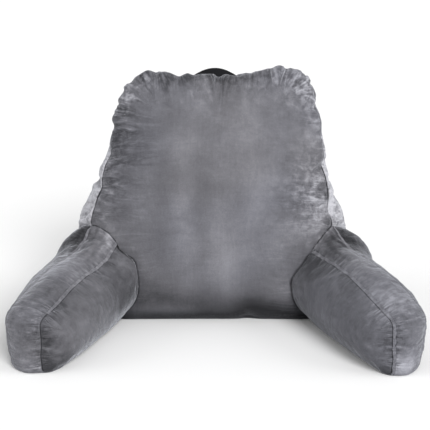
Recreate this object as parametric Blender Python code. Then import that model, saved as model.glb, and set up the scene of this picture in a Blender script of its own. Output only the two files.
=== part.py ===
"""Reading pillow with arms: a boxed backrest cushion, two boxed arm cushions and a webbing carry handle.

Metres, +Z up. The sitter leans on the backrest's face towards -Y, and the arms reach out towards -Y.
Every cushion is one filled solid: two crowned panels joined by a band, drawn in where it is gathered.
"""

import math
from collections import namedtuple

import bmesh
import bpy
from mathutils import Vector
from mathutils.bvhtree import BVHTree

# Backrest: rows from the floor up give the face panel's seam and how far the side band bulges past it
BACKREST_ROW = namedtuple("BACKREST_ROW", "along left right bulge")
BACKREST_ROWS = (
    BACKREST_ROW(0.000, 0.256, 0.246, 0.030),
    BACKREST_ROW(0.090, 0.247, 0.237, 0.032),
    BACKREST_ROW(0.180, 0.233, 0.221, 0.029),
    BACKREST_ROW(0.225, 0.220, 0.213, 0.019),
    BACKREST_ROW(0.265, 0.210, 0.207, 0.012),
    BACKREST_ROW(0.300, 0.200, 0.203, 0.008),
    BACKREST_ROW(0.340, 0.193, 0.198, 0.005),
    BACKREST_ROW(0.400, 0.191, 0.193, 0.003),
    BACKREST_ROW(0.480, 0.189, 0.191, 0.003),
)
# Rows from left to right give the height of the top seam and how far the top band rises above it
TOP_ROW = namedtuple("TOP_ROW", "along height bulge")
TOP_ROWS = (
    TOP_ROW(-0.190, 0.470, 0.010),
    TOP_ROW(-0.120, 0.469, 0.009),
    TOP_ROW(-0.085, 0.461, 0.001),
    TOP_ROW(-0.040, 0.458, -0.011),
    TOP_ROW(0.020, 0.457, -0.014),
    TOP_ROW(0.070, 0.460, -0.009),
    TOP_ROW(0.100, 0.466, 0.001),
    TOP_ROW(0.130, 0.473, 0.009),
    TOP_ROW(0.190, 0.473, 0.010),
)
REAR_SHARE_HIGH = 0.905
REAR_SHARE_WIDE = 0.97
FOOT_DEPTH = 0.190
FOOT_BOW = 0.010
FACE_LEAN = math.radians(9.0)
REAR_LEAN = math.radians(1.5)
FACE_CROWN = 0.044
REAR_CROWN = 0.030
LEFT_CORNER_POWER = 3.2
RIGHT_CORNER_POWER = 6.0
FOOT_CORNER_POWER = 9.0
CRUMPLE_DEPTH = 0.0035
CRUMPLE_PITCH = 0.052
BACKREST_CELLS = (34, 36, 10)

# Folds drawn in where the face panel is gathered, from the seam into the panel
FOLD = namedtuple("FOLD", "from_x from_z to_x to_z width depth")
FACE_FOLDS = (
    FOLD(-0.102, 0.475, -0.118, 0.425, 0.012, 0.009),
    FOLD(-0.067, 0.475, -0.060, 0.420, 0.012, 0.010),
    FOLD(0.011, 0.470, 0.004, 0.400, 0.012, 0.012),
    FOLD(0.128, 0.480, 0.116, 0.425, 0.013, 0.009),
    FOLD(0.200, 0.398, 0.135, 0.388, 0.013, 0.010),
    FOLD(0.192, 0.445, 0.150, 0.420, 0.013, 0.006),
    FOLD(-0.200, 0.398, -0.140, 0.392, 0.013, 0.008),
    FOLD(-0.200, 0.358, -0.145, 0.352, 0.013, 0.007),
    FOLD(-0.205, 0.310, -0.155, 0.306, 0.013, 0.006),
    FOLD(0.212, 0.288, 0.155, 0.280, 0.014, 0.007),
    FOLD(-0.222, 0.248, -0.170, 0.250, 0.014, 0.005),
    FOLD(0.225, 0.205, 0.150, 0.228, 0.015, 0.007),
    FOLD(0.160, 0.082, 0.088, 0.058, 0.013, 0.007),
    FOLD(-0.150, 0.120, -0.100, 0.142, 0.015, 0.005),
    FOLD(0.062, 0.000, 0.050, 0.050, 0.014, 0.005),
)
REAR_FOLDS = (
    FOLD(-0.090, 0.440, -0.080, 0.365, 0.013, 0.006),
    FOLD(0.020, 0.435, 0.018, 0.350, 0.013, 0.007),
    FOLD(0.110, 0.440, 0.098, 0.375, 0.013, 0.006),
    FOLD(-0.195, 0.330, -0.135, 0.322, 0.013, 0.006),
    FOLD(0.200, 0.300, 0.140, 0.296, 0.013, 0.006),
    FOLD(-0.230, 0.170, -0.160, 0.180, 0.014, 0.006),
    FOLD(0.225, 0.150, 0.150, 0.165, 0.014, 0.006),
)

# Arms: rows from the backrest out to the front end follow the top band's two seams
ARM_ROW = namedtuple("ARM_ROW", "along inner_height outer_height inner_across outer_across inner_crown outer_crown")
ARM = namedtuple("ARM", "side root splay inner_front outer_front outer_foot rows folds")
LEFT_ARM = ARM(
    side=-1,
    root=(0.184, 0.023),
    splay=math.radians(21.5),
    inner_front=0.291,
    outer_front=0.287,
    outer_foot=0.061,
    rows=(
        ARM_ROW(-0.125, 0.160, 0.166, -0.010, 0.036, 0.044, 0.020),
        ARM_ROW(-0.060, 0.160, 0.178, -0.010, 0.040, 0.044, 0.056),
        ARM_ROW(-0.010, 0.158, 0.184, -0.010, 0.042, 0.044, 0.075),
        ARM_ROW(0.013, 0.155, 0.180, -0.010, 0.046, 0.043, 0.072),
        ARM_ROW(0.030, 0.142, 0.150, -0.009, 0.052, 0.042, 0.069),
        ARM_ROW(0.056, 0.130, 0.136, -0.005, 0.057, 0.041, 0.065),
        ARM_ROW(0.090, 0.124, 0.130, -0.002, 0.063, 0.040, 0.060),
        ARM_ROW(0.130, 0.123, 0.127, 0.000, 0.068, 0.038, 0.052),
        ARM_ROW(0.184, 0.117, 0.120, 0.000, 0.071, 0.036, 0.043),
        ARM_ROW(0.232, 0.106, 0.110, 0.000, 0.072, 0.035, 0.034),
        ARM_ROW(0.280, 0.099, 0.098, 0.000, 0.072, 0.034, 0.029),
        ARM_ROW(0.320, 0.096, 0.092, 0.000, 0.072, 0.034, 0.028),
    ),
    folds=(
        FOLD(0.000, 0.150, 0.075, 0.118, 0.013, 0.006),
        FOLD(0.285, 0.085, 0.225, 0.075, 0.013, 0.005),
        FOLD(0.290, 0.030, 0.235, 0.026, 0.013, 0.006),
    ),
)
RIGHT_ARM = ARM(
    side=1,
    root=(0.183, 0.021),
    splay=math.radians(22.2),
    inner_front=0.306,
    outer_front=0.292,
    outer_foot=0.059,
    rows=(
        ARM_ROW(-0.125, 0.146, 0.160, -0.008, 0.030, 0.044, 0.020),
        ARM_ROW(-0.060, 0.145, 0.171, -0.008, 0.034, 0.044, 0.058),
        ARM_ROW(-0.010, 0.143, 0.176, -0.008, 0.034, 0.044, 0.078),
        ARM_ROW(0.008, 0.140, 0.171, -0.008, 0.038, 0.043, 0.075),
        ARM_ROW(0.028, 0.137, 0.151, -0.008, 0.048, 0.042, 0.071),
        ARM_ROW(0.055, 0.133, 0.142, -0.004, 0.055, 0.041, 0.066),
        ARM_ROW(0.095, 0.131, 0.138, 0.000, 0.060, 0.040, 0.058),
        ARM_ROW(0.147, 0.129, 0.133, 0.000, 0.066, 0.038, 0.047),
        ARM_ROW(0.202, 0.119, 0.124, 0.000, 0.070, 0.036, 0.038),
        ARM_ROW(0.255, 0.107, 0.108, 0.000, 0.070, 0.035, 0.032),
        ARM_ROW(0.295, 0.099, 0.096, 0.000, 0.070, 0.034, 0.028),
        ARM_ROW(0.330, 0.096, 0.090, 0.000, 0.070, 0.034, 0.028),
    ),
    folds=(
        FOLD(0.000, 0.110, 0.070, 0.124, 0.013, 0.006),
        FOLD(0.285, 0.096, 0.215, 0.086, 0.013, 0.006),
        FOLD(0.305, 0.030, 0.245, 0.024, 0.013, 0.005),
    ),
)
ARM_INNER_ROOT = -0.070
ARM_OUTER_ROOT = -0.120
ARM_FOOT_SPREAD = 0.009
ARM_SIT_SHARE = 0.45
ARM_BAND_CROWN = 0.012
ARM_TOP_CORNER_POWER = 7.0
ARM_FOOT_CORNER_POWER = 16.0
ARM_CELLS = (30, 12, 6)

# Carry handle: a flat webbing strap, its ends sewn down on the top band
HANDLE_WIDTH = 0.025
HANDLE_THICKNESS = 0.003
HANDLE_HALF_SPAN = 0.069
HANDLE_TAB = 0.026
HANDLE_RISE = 0.0262
HANDLE_BACK = 0.056
HANDLE_LEAN = math.radians(35.0)
HANDLE_CELLS = 44

SEAM_GAP = 0.0004


def blend(low, high, share):
    return low + (high - low) * share


def read(rows, along, column):
    """A column of a table at a place along it, in proportion between its rows."""
    if along <= rows[0].along:
        return getattr(rows[0], column)
    for near, far in zip(rows, rows[1:]):
        if along <= far.along:
            share = (along - near.along) / (far.along - near.along)
            return blend(getattr(near, column), getattr(far, column), share)
    return getattr(rows[-1], column)


def rounded(u, v, power):
    """Pulls a square's corner in until its outline turns it smoothly; a higher power is a tighter corner."""
    keep = 1.0 - (abs(u) * abs(v)) ** power / (2.0 * power + 1.0)
    return u * keep, v * keep


def fold_depth(folds, x, z):
    """How deep the folds are at a place on a panel: each is deepest at its seam and runs out at its tip."""
    depth = 0.0
    for fold in folds:
        reach_x, reach_z = fold.to_x - fold.from_x, fold.to_z - fold.from_z
        length = math.hypot(reach_x, reach_z)
        part = ((x - fold.from_x) * reach_x + (z - fold.from_z) * reach_z) / length**2
        aside = abs((x - fold.from_x) * reach_z - (z - fold.from_z) * reach_x) / length
        if part < 1.0:
            fade = 1.0 - max(0.0, part)
            depth += fold.depth * fade * math.exp(-((aside / fold.width) ** 2))
    return depth


def crumpled(along, w):
    """The slanting gathers of the band, -1 to 1: along runs with the seam and w across the band."""
    slant = math.sin(math.tau * (along - 0.016 * w) / CRUMPLE_PITCH)
    return slant * (0.6 + 0.4 * math.sin(math.tau * (along / (3.4 * CRUMPLE_PITCH) + 0.3 * w)))


def backrest_seam(u, v, wide, high):
    """A place on the backrest's panel outline, scaled in width and height."""
    corner = LEFT_CORNER_POWER if u < 0 else RIGHT_CORNER_POWER
    across, up = rounded(u, v, corner if v > 0 else FOOT_CORNER_POWER)
    share_up = (up + 1.0) / 2.0
    column = "left" if u < 0 else "right"
    x = across * read(BACKREST_ROWS, share_up * 0.46, column)
    z = share_up * read(TOP_ROWS, x, "height")
    return x * wide, z * high


def backrest_point(u, v, w):
    """A point of the backrest: u across, v from floor to top, w from face to rear, each -1 to 1."""
    share_back = (w + 1.0) / 2.0
    x, z = backrest_seam(
        u, v, blend(1.0, REAR_SHARE_WIDE, share_back), blend(1.0, REAR_SHARE_HIGH, share_back)
    )
    face_fold = fold_depth(FACE_FOLDS, x, z) * (1.0 - share_back) ** 2
    rear_fold = fold_depth(REAR_FOLDS, x, z) * share_back**2
    face_y = z * math.tan(FACE_LEAN) + FOOT_BOW * (1.0 - u * u) * (1.0 - v) / 2.0 + face_fold
    rear_y = FOOT_DEPTH - z * math.tan(REAR_LEAN) - rear_fold
    y = blend(face_y, rear_y, share_back)
    panel = (1.0 - u**4) * (1.0 - v**4) * (1.0 - 0.15 * v)
    outward = Vector((u**5, 0.0, v**5)).normalized() if abs(u) + abs(v) > 0.1 else Vector((0, 0, 0))
    edge = max(abs(u), abs(v)) ** 12
    x -= 0.7 * (face_fold + rear_fold) * edge * outward.x
    z -= 0.7 * (face_fold + rear_fold) * edge * outward.z
    if w <= -1.0:
        y -= FACE_CROWN * panel
    elif w >= 1.0:
        y += REAR_CROWN * panel
    else:
        side = read(BACKREST_ROWS, z, "bulge")
        top = read(TOP_ROWS, x, "bulge")
        crumple = CRUMPLE_DEPTH * crumpled(z if abs(u) > v else x, w) * min(1.0, max(0.1, (z - 0.15) / 0.06))
        bulge = blend(side, top, outward.z**2 if v > 0 else 0.0) + crumple
        bulge *= (1.0 - w * w) ** 0.8
        x += bulge * outward.x
        z += bulge * outward.z
    return Vector((x, y, max(z, 0.0) if v > -1.0 else 0.0))


def arm_point(arm, u, v, w):
    """A point of an arm: u from root to front end, v from floor to top, w from inner to outer side."""
    share_out = (w + 1.0) / 2.0
    corner = ARM_TOP_CORNER_POWER if v > 0 else ARM_FOOT_CORNER_POWER
    along_share, up = rounded(u, v, corner) if u > 0 else (u, v)
    share_along = (along_share + 1.0) / 2.0
    inner_along = blend(ARM_INNER_ROOT, arm.inner_front, share_along)
    outer_along = blend(ARM_OUTER_ROOT, arm.outer_front, share_along)
    along = blend(inner_along, outer_along, share_out)
    share_up = (up + 1.0) / 2.0
    inner_top = read(arm.rows, along, "inner_height")
    outer_top = read(arm.rows, along, "outer_height")
    z = share_up * blend(inner_top, outer_top, share_out)
    front = max(0.0, u)
    inner_foot_across = -ARM_FOOT_SPREAD * (1.0 - front**5)
    inner_across = blend(inner_foot_across, read(arm.rows, along, "inner_across"), share_up)
    outer_crown = read(arm.rows, along, "outer_crown")
    outer_top_across = read(arm.rows, along, "outer_across")
    outer_foot_across = blend(outer_top_across + ARM_SIT_SHARE * outer_crown, arm.outer_foot, front**3)
    outer_across = blend(outer_foot_across, outer_top_across, share_up)
    across = blend(inner_across, outer_across, share_out)
    side = (1.0 - abs(v) ** 3.2) * (1.0 - front**5)
    fold = fold_depth(arm.folds, along, z)
    if w <= -1.0:
        across -= read(arm.rows, along, "inner_crown") * side - fold
    elif w >= 1.0:
        across += outer_crown * (1.0 - ARM_SIT_SHARE / 2.0) * side
    else:
        bulge = ARM_BAND_CROWN * (1.0 - w * w)
        outward = Vector((front**5, 0.0, v**5))
        outward = outward.normalized() if outward.length > 0 else Vector((0, 0, 1))
        along += bulge * outward.x
        z += bulge * outward.z
    return on_arm(arm, along, across, max(z, 0.0) if v > -1.0 else 0.0)


def on_arm(arm, along, across, z):
    """A point in the arm's own directions, placed in the pillow's frame."""
    sine, cosine = math.sin(arm.splay), math.cos(arm.splay)
    x = arm.root[0] + along * sine + across * cosine
    y = arm.root[1] - along * cosine + across * sine
    return Vector((arm.side * x, y, z))


def boxed_shell(bm, cells, place):
    """The six sides of a box of cells, each corner of a cell put where place(u, v, w) says."""
    corners = {}

    def corner(*key):
        if key not in corners:
            u, v, w = (2.0 * n / c - 1.0 for n, c in zip(key, cells))
            corners[key] = bm.verts.new(place(u, v, w))
        return corners[key]

    for axis in range(3):
        first, second = (n for n in range(3) if n != axis)
        for end in (0, cells[axis]):
            for a in range(cells[first]):
                for b in range(cells[second]):
                    ring = []
                    for step_a, step_b in ((0, 0), (1, 0), (1, 1), (0, 1)):
                        key = [0, 0, 0]
                        key[axis], key[first], key[second] = end, a + step_a, b + step_b
                        ring.append(corner(*key))
                    bm.faces.new(ring)
    bmesh.ops.recalc_face_normals(bm, faces=bm.faces)
    bmesh.ops.triangulate(bm, faces=bm.faces, quad_method="SHORT_EDGE")


def make_object(name, bm, material):
    mesh = bpy.data.meshes.new(name)
    bm.to_mesh(mesh)
    bm.free()
    mesh.shade_smooth()
    mesh.materials.append(material)
    piece = bpy.data.objects.new(name, mesh)
    bpy.context.scene.collection.objects.link(piece)
    return piece


def make_material(name, colour, roughness):
    material = bpy.data.materials.new(name)
    material.use_nodes = True
    shader = material.node_tree.nodes["Principled BSDF"]
    shader.inputs["Base Color"].default_value = (*colour, 1.0)
    shader.inputs["Roughness"].default_value = roughness
    shader.inputs["Metallic"].default_value = 0.0
    return material


def make_cushion(name, cells, place, material):
    bm = bmesh.new()
    boxed_shell(bm, cells, place)
    return make_object(name, bm, material)


def make_cutter(cushion):
    """The cushion grown by the seam gap, which trims what is sewn to it."""
    bm = bmesh.new()
    bm.from_mesh(cushion.data)
    bm.normal_update()
    for vert in bm.verts:
        on_floor = vert.co.z <= 0.0
        vert.co += vert.normal * SEAM_GAP * vert.calc_shell_factor()
        if on_floor:
            vert.co.z = -SEAM_GAP
    cutter = make_object("backrest_cutter", bm, cushion.data.materials[0])
    cutter.hide_render = True
    cutter.display_type = "WIRE"
    return cutter


def trim(piece, cutter):
    cut = piece.modifiers.new("trim", "BOOLEAN")
    cut.operation = "DIFFERENCE"
    cut.solver = "EXACT"
    cut.object = cutter


def make_handle(backrest, material):
    """A strap lying on the band at both ends, its arch leaning back."""
    bm_rest = bmesh.new()
    bm_rest.from_mesh(backrest.data)
    tree = BVHTree.FromBMesh(bm_rest)
    bm_rest.free()
    middle_y = read(TOP_ROWS, 0.0, "height") * math.tan(FACE_LEAN) + HANDLE_BACK

    def band_top(x, y):
        return tree.ray_cast(Vector((x, y, 1.0)), Vector((0, 0, -1)))[0].z

    bm = bmesh.new()
    rings = []
    reach = HANDLE_HALF_SPAN + HANDLE_TAB
    for n in range(HANDLE_CELLS + 1):
        x = reach * (2.0 * n / HANDLE_CELLS - 1.0)
        free = min(1.0, abs(x) / HANDLE_HALF_SPAN)
        arch = (1.0 - free**2) ** 1.3
        near = band_top(x, middle_y - HANDLE_WIDTH / 2)
        far = band_top(x, middle_y + HANDLE_WIDTH / 2)
        slope = math.atan2(near - far, HANDLE_WIDTH)
        lean = blend(slope, -HANDLE_LEAN, arch)
        up = Vector((0, math.sin(lean), math.cos(lean)))
        middle = Vector((x, middle_y, (near + far) / 2 + HANDLE_RISE * arch))
        width = Vector((0, up.z, -up.y)) * HANDLE_WIDTH / 2
        lift = up * HANDLE_THICKNESS
        ring = [middle - width, middle + width, middle + width + lift, middle - width + lift]
        rings.append([bm.verts.new(point) for point in ring])
    for near, far in zip(rings, rings[1:]):
        for a in range(4):
            b = (a + 1) % 4
            bm.faces.new((near[a], near[b], far[b], far[a]))
    bm.faces.new(rings[0])
    bm.faces.new(rings[-1])
    bmesh.ops.recalc_face_normals(bm, faces=bm.faces)
    bmesh.ops.triangulate(bm, faces=bm.faces, quad_method="SHORT_EDGE")
    return make_object("handle", bm, material)


def centre_on_floor(pieces):
    """Moves the whole pillow so that the middle of its footprint is the origin."""
    bpy.context.view_layer.update()
    graph = bpy.context.evaluated_depsgraph_get()
    corners = [
        piece.matrix_world @ Vector(corner)
        for piece in pieces
        for corner in piece.evaluated_get(graph).bound_box
    ]
    middle = [(min(c[n] for c in corners) + max(c[n] for c in corners)) / 2 for n in (0, 1)]
    holder = bpy.data.objects.new("pillow_origin", None)
    bpy.context.scene.collection.objects.link(holder)
    for piece in bpy.context.scene.objects:
        if piece.type == "MESH":
            piece.parent = holder
    holder.location = (-middle[0], -middle[1], 0.0)
    bpy.context.view_layer.update()


def main():
    for old in list(bpy.data.objects):
        bpy.data.objects.remove(old)
    velour = make_material("grey_velour", (0.19, 0.19, 0.205), 0.9)
    webbing = make_material("black_webbing", (0.012, 0.012, 0.014), 0.7)
    backrest = make_cushion("backrest", BACKREST_CELLS, backrest_point, velour)
    cutter = make_cutter(backrest)
    arms = []
    for name, arm in (("arm_left", LEFT_ARM), ("arm_right", RIGHT_ARM)):
        place = lambda u, v, w, arm=arm: arm_point(arm, u, v, w)
        piece = make_cushion(name, ARM_CELLS, place, velour)
        trim(piece, cutter)
        arms.append(piece)
    handle = make_handle(backrest, webbing)
    trim(handle, cutter)
    centre_on_floor([backrest, *arms, handle])


main()
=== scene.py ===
"""A reading pillow with arms in grey velour: a boxed backrest, two boxed arms and a webbing carry handle."""
import math
from collections import namedtuple
from functools import partial
from itertools import product

import bmesh
import bpy
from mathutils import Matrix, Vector, noise
from mathutils.bvhtree import BVHTree
from mathutils.kdtree import KDTree


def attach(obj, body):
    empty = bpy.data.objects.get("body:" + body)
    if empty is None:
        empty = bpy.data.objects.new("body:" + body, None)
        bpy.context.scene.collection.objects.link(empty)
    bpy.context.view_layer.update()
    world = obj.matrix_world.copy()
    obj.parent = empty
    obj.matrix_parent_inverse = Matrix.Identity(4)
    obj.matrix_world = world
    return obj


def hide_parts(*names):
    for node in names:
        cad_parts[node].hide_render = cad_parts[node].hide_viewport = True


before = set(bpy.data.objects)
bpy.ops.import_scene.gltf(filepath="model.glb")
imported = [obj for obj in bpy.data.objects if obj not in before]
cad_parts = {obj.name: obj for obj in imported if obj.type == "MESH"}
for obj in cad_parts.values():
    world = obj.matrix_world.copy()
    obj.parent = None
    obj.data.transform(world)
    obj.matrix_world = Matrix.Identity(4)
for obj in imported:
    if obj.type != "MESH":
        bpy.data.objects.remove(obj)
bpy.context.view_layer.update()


def table(fields, *rows):
    """Rows of named numbers."""
    row = namedtuple("ROW", fields)
    return [row(*values) for values in rows]


# Where the pillow stands: the middle of its footprint is the origin
STAND = Vector((-0.00043, 0.02235, 0.0))

# Backrest: rows from the floor up give the face panel's seam and how far the side band bulges past it
BACKREST_ROWS = table(
    "along left right bulge",
    (0.0, 0.256, 0.246, 0.03),
    (0.09, 0.247, 0.237, 0.032),
    (0.18, 0.233, 0.221, 0.025),
    (0.225, 0.22, 0.213, 0.014),
    (0.265, 0.21, 0.207, 0.006),
    (0.3, 0.203, 0.204, 0.003),
    (0.34, 0.198, 0.198, 0.001),
    (0.4, 0.197, 0.196, 0.0),
    (0.48, 0.194, 0.195, 0.0),
)
# Rows from left to right give the height of the top seam and how far the top band rises above it
TOP_ROWS = table(
    "along height bulge",
    (-0.19, 0.468, -0.004),
    (-0.15, 0.471, -0.003),
    (-0.124, 0.474, -0.003),
    (-0.1, 0.467, -0.005),
    (-0.08, 0.463, -0.008),
    (-0.055, 0.46, -0.01),
    (-0.03, 0.457, -0.012),
    (0.008, 0.456, -0.014),
    (0.03, 0.457, -0.012),
    (0.066, 0.46, -0.008),
    (0.1, 0.468, -0.004),
    (0.116, 0.474, -0.003),
    (0.13, 0.473, -0.003),
    (0.16, 0.472, -0.003),
    (0.19, 0.467, -0.003),
)
BACKREST_HEIGHT = 0.46
REAR_SHARE_HIGH = 0.905
REAR_SHARE_WIDE = 0.97
FOOT_DEPTH = 0.190
FOOT_BOW = 0.006
FACE_LEAN = math.radians(9.0)
# The face panel rolls over the top, so its seam lies behind and below the outline there
ROLL_BACK = 0.017
ROLL_RISE = 0.020
ROLL_TURN = math.radians(130.0)
ROLL_SHARE = 0.09
# How far up each side the roll starts, and over what reach it grows
LEFT_ROLL = (0.28, 0.25)
RIGHT_ROLL = (0.74, 0.14)
# The right band stands out a little less than its rows say, and less still above its arm
RIGHT_BAND_SHARES = (0.98, 0.62)
RIGHT_BAND_TURN = (0.19, 0.03)
# The side bands puff out above the arms
LEFT_PUFF = 0.273
RIGHT_PUFF = 0.300
PUFF_RISE = 0.004
PUFF_REACH = 0.018
REAR_LEAN = math.radians(1.5)
FACE_CROWN = 0.044
REAR_CROWN = 0.030
LEFT_CORNER_POWER = 2.7
RIGHT_CORNER_POWER = 4.6
FOOT_CORNER_POWER = 9.0
# Cells across, up and deep, and how much closer together they are towards the ends
BACKREST_CELLS = (80, 88, 30)
BACKREST_EASES = (0.45, 0.45, 0.25)

# Folds drawn in where a panel is gathered, from the seam into the panel
FOLD = "from_x from_z to_x to_z width depth"
# How far a fold draws its seam in, as a share of its depth
FOLD_PULL = 0.9
FACE_FOLDS = table(
    FOLD,
    (-0.107, 0.47, -0.118, 0.425, 0.009, 0.007),
    (-0.069, 0.464, -0.06, 0.42, 0.009, 0.014),
    (-0.036, 0.46, -0.04, 0.43, 0.009, 0.007),
    (0.008, 0.46, 0.003, 0.405, 0.008, 0.015),
    (0.098, 0.468, 0.092, 0.435, 0.009, 0.006),
    (0.134, 0.474, 0.122, 0.425, 0.009, 0.011),
    (0.2, 0.398, 0.135, 0.388, 0.013, 0.01),
    (0.192, 0.445, 0.15, 0.42, 0.013, 0.006),
    (-0.2, 0.398, -0.14, 0.392, 0.013, 0.008),
    (-0.2, 0.358, -0.145, 0.352, 0.013, 0.007),
    (-0.205, 0.31, -0.155, 0.306, 0.013, 0.006),
    (0.212, 0.288, 0.155, 0.28, 0.014, 0.007),
    (-0.222, 0.248, -0.17, 0.25, 0.014, 0.005),
    (0.225, 0.205, 0.15, 0.228, 0.015, 0.007),
    (0.16, 0.082, 0.088, 0.058, 0.013, 0.007),
    (-0.15, 0.12, -0.1, 0.142, 0.015, 0.005),
    (0.062, 0.0, 0.05, 0.05, 0.014, 0.005),
)
REAR_FOLDS = table(
    FOLD,
    (-0.09, 0.44, -0.08, 0.365, 0.013, 0.006),
    (0.02, 0.435, 0.018, 0.35, 0.013, 0.007),
    (0.11, 0.44, 0.098, 0.375, 0.013, 0.006),
    (-0.195, 0.33, -0.135, 0.322, 0.013, 0.006),
    (0.2, 0.3, 0.14, 0.296, 0.013, 0.006),
    (-0.23, 0.17, -0.16, 0.18, 0.014, 0.006),
    (0.225, 0.15, 0.15, 0.165, 0.014, 0.006),
)

# Arms: rows from the backrest out to the front end follow the top band's two seams, and feet give how far the
# inner panel spreads at the floor
ARM_ROW = "along inner_height outer_height inner_across outer_across inner_crown outer_crown"
FOOT_ROW = "along spread"
ARM = namedtuple("ARM", "side root splay inner_front outer_front outer_foot strip_run rows feet folds")
LEFT_ARM = ARM(
    side=-1,
    root=(0.184, 0.023),
    splay=math.radians(21.5),
    inner_front=0.294,
    outer_front=0.290,
    outer_foot=0.061,
    strip_run=0.258,
    rows=table(
        ARM_ROW,
        (-0.125, 0.163, 0.166, -0.014, 0.036, 0.047, 0.02),
        (-0.06, 0.164, 0.178, -0.014, 0.04, 0.047, 0.066),
        (-0.01, 0.163, 0.184, -0.014, 0.042, 0.047, 0.084),
        (0.013, 0.16, 0.18, -0.013, 0.046, 0.046, 0.081),
        (0.03, 0.147, 0.152, -0.011, 0.052, 0.044, 0.08),
        (0.056, 0.133, 0.139, -0.007, 0.059, 0.042, 0.078),
        (0.09, 0.124, 0.131, -0.002, 0.066, 0.04, 0.068),
        (0.13, 0.123, 0.128, 0.0, 0.071, 0.038, 0.056),
        (0.184, 0.117, 0.12, 0.0, 0.071, 0.036, 0.043),
        (0.232, 0.106, 0.11, 0.0, 0.072, 0.035, 0.034),
        (0.28, 0.099, 0.098, 0.0, 0.072, 0.034, 0.029),
        (0.32, 0.096, 0.092, 0.0, 0.072, 0.034, 0.028),
    ),
    feet=table(
        FOOT_ROW,
        (-0.07, 0.002),
        (0.09, 0.008),
        (0.19, 0.017),
        (0.262, 0.018),
        (0.282, 0.012),
        (0.294, -0.001),
    ),
    folds=table(
        FOLD,
        (0.0, 0.15, 0.075, 0.118, 0.013, 0.006),
        (0.285, 0.085, 0.225, 0.075, 0.011, 0.002),
        (0.29, 0.03, 0.235, 0.026, 0.011, 0.002),
    ),
)
RIGHT_ARM = ARM(
    side=1,
    root=(0.183, 0.021),
    splay=math.radians(22.2),
    inner_front=0.307,
    outer_front=0.294,
    outer_foot=0.059,
    strip_run=0.600,
    rows=table(
        ARM_ROW,
        (-0.125, 0.146, 0.16, -0.008, 0.03, 0.044, 0.02),
        (-0.06, 0.145, 0.171, -0.008, 0.034, 0.044, 0.069),
        (-0.01, 0.144, 0.18, -0.012, 0.036, 0.042, 0.091),
        (0.008, 0.141, 0.176, -0.012, 0.04, 0.042, 0.087),
        (0.028, 0.137, 0.153, -0.01, 0.048, 0.042, 0.073),
        (0.055, 0.133, 0.142, -0.004, 0.055, 0.041, 0.063),
        (0.095, 0.131, 0.137, 0.0, 0.06, 0.04, 0.056),
        (0.147, 0.129, 0.132, 0.0, 0.066, 0.038, 0.045),
        (0.202, 0.119, 0.124, 0.0, 0.07, 0.036, 0.038),
        (0.255, 0.107, 0.108, 0.0, 0.07, 0.035, 0.032),
        (0.295, 0.099, 0.096, 0.0, 0.07, 0.034, 0.028),
        (0.33, 0.096, 0.09, 0.0, 0.07, 0.034, 0.028),
    ),
    feet=table(
        FOOT_ROW,
        (-0.07, 0.004),
        (0.09, 0.008),
        (0.2, 0.012),
        (0.29, 0.009),
        (0.307, -0.001),
    ),
    folds=table(
        FOLD,
        (0.0, 0.11, 0.07, 0.124, 0.013, 0.006),
        (0.285, 0.096, 0.215, 0.086, 0.011, 0.002),
        (0.305, 0.03, 0.245, 0.024, 0.011, 0.002),
    ),
)
ARM_INNER_ROOT = -0.070
ARM_OUTER_ROOT = -0.120
ARM_SIT_SHARE = 0.45
ARM_BAND_CROWN = 0.012
ARM_TOP_CORNER_POWER = 7.0
ARM_FOOT_CORNER_POWER = 16.0
# Cells along, up and across
ARM_CELLS = (64, 34, 22)
ARM_EASES = (0.2, 0.4, 0.3)
ARM_SHELL_CELLS = (32, 12, 8)
# Steps up and across in the ring of places round an arm's root
RING_CELLS = (90, 60)
ARMS = {"left": LEFT_ARM, "right": RIGHT_ARM}

# Carry handle: a flat webbing strap, its ends sewn down on the top band
HANDLE_WIDTH = 0.025
HANDLE_THICKNESS = 0.003
HANDLE_HALF_SPAN = 0.069
HANDLE_TAB = 0.026
HANDLE_RISE = 0.0262
HANDLE_TOP = 0.4516
HANDLE_BACK = 0.056
HANDLE_LEAN = math.radians(35.0)
HANDLE_CELLS = 132
HANDLE_LIFT = 0.0004
STRAP_RIBS = 8
RIB_VALLEY = 0.86
# The box of stitches that holds each end down
BOX_INSET = 0.003
BOX_LENGTH = 0.020
BOX_HALF = 0.009
BOX_PITCH = 0.0036

# Filling: how the cloth swells, and how much longer a panel is cut than the seam that gathers it
CLOTH = {
    "quality": 5,
    "mass": 0.3,
    "tension_stiffness": 15,
    "compression_stiffness": 12,
    "shear_stiffness": 6,
    "bending_stiffness": 0.15,
    "use_pressure": True,
    "uniform_pressure_force": 4.0,
    "vertex_group_mass": "held",
    "pin_stiffness": 1.0,
    "vertex_group_shrink": "taut",
    "shrink_max": 0.0,
}
FRAMES = 20
BACKREST_SLACK = 0.16
ARM_SLACK = 0.038
BACKREST_SWELL = 0.016
ARM_SWELL = 0.009
# Gathers along the face panel's seams: how much longer the cloth is cut than the seam, and how high and how
# long its fine pleats are. Side rows run from the floor up, top rows from left to right.
GATHER_ROW = "along amount height reach"
PLEAT_PITCH = 0.012
LEFT_GATHERS = table(
    GATHER_ROW,
    (0.0, 0.1, 0.0002, 0.02),
    (0.14, 0.2, 0.0004, 0.03),
    (0.22, 0.3, 0.001, 0.06),
    (0.3, 0.5, 0.0013, 0.07),
    (0.38, 0.7, 0.002, 0.05),
    (0.43, 0.9, 0.0022, 0.03),
    (0.48, 0.9, 0.0022, 0.025),
)
RIGHT_GATHERS = table(
    GATHER_ROW,
    (0.0, 0.1, 0.0002, 0.02),
    (0.14, 0.55, 0.001, 0.03),
    (0.22, 0.85, 0.0018, 0.03),
    (0.27, 0.35, 0.0006, 0.025),
    (0.36, 0.35, 0.0006, 0.025),
    (0.41, 0.85, 0.002, 0.035),
    (0.48, 0.9, 0.0022, 0.03),
)
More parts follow.
